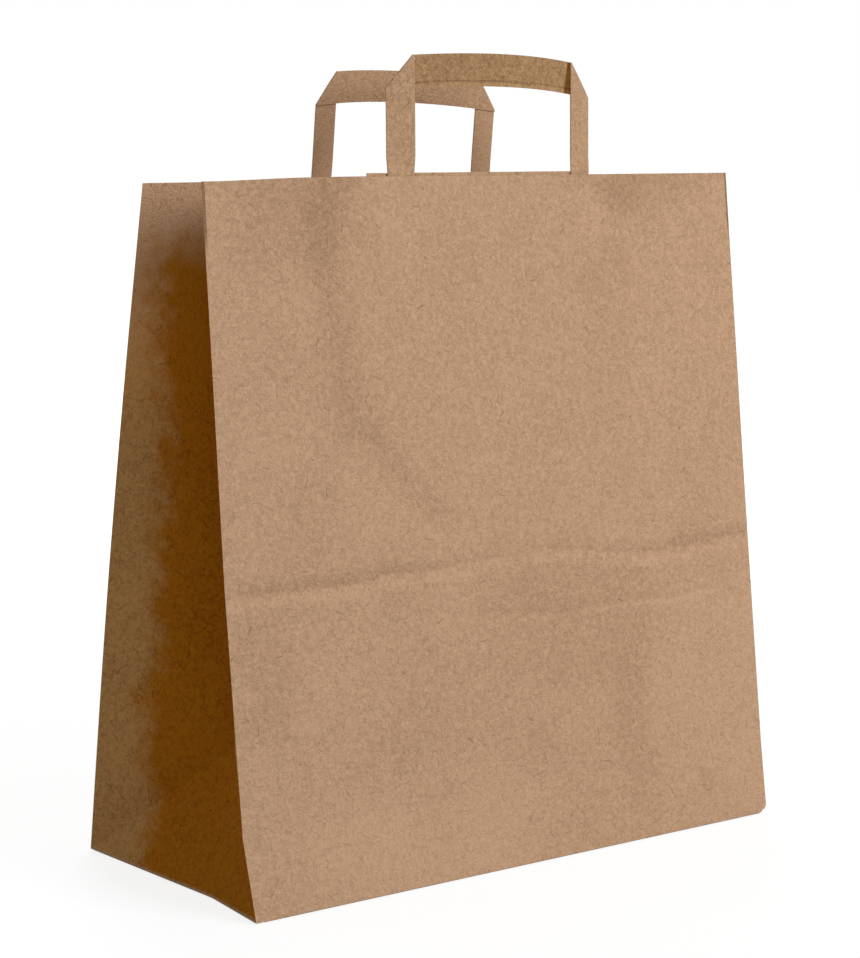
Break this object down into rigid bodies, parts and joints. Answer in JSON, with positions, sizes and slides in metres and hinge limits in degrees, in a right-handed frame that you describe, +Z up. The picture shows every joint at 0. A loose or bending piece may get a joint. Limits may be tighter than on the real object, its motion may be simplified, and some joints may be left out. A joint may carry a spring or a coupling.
{
  "type": "paper carrier bag",
  "caption": "Brown kraft paper carrier bag with a flat rectangular base, side gussets folded inwards and flat folded tape handles glued inside the front and back panels.",
  "frame": {"origin": "middle of the base, on the surface the bag stands on", "axes": "+X along the bag's width, from the side that faces left in the picture to the other, +Y from the front panel to the back panel, +Z up"},
  "size_m": [0.3211, 0.1506, 0.3922],
  "materials": {
    "kraft_sheet": "unprinted brown kraft, matt, with fine fibres",
    "kraft_tape": "folded brown kraft tape, matt",
    "kraft_patch": "unprinted brown kraft, matt"
  },
  "bodies": {
    "root": {"bag_body": "kraft_sheet", "front_handle": "kraft_tape", "back_handle": "kraft_tape", "front_handle_patch": "kraft_patch", "back_handle_patch": "kraft_patch"}
  },
  "joints": []
}
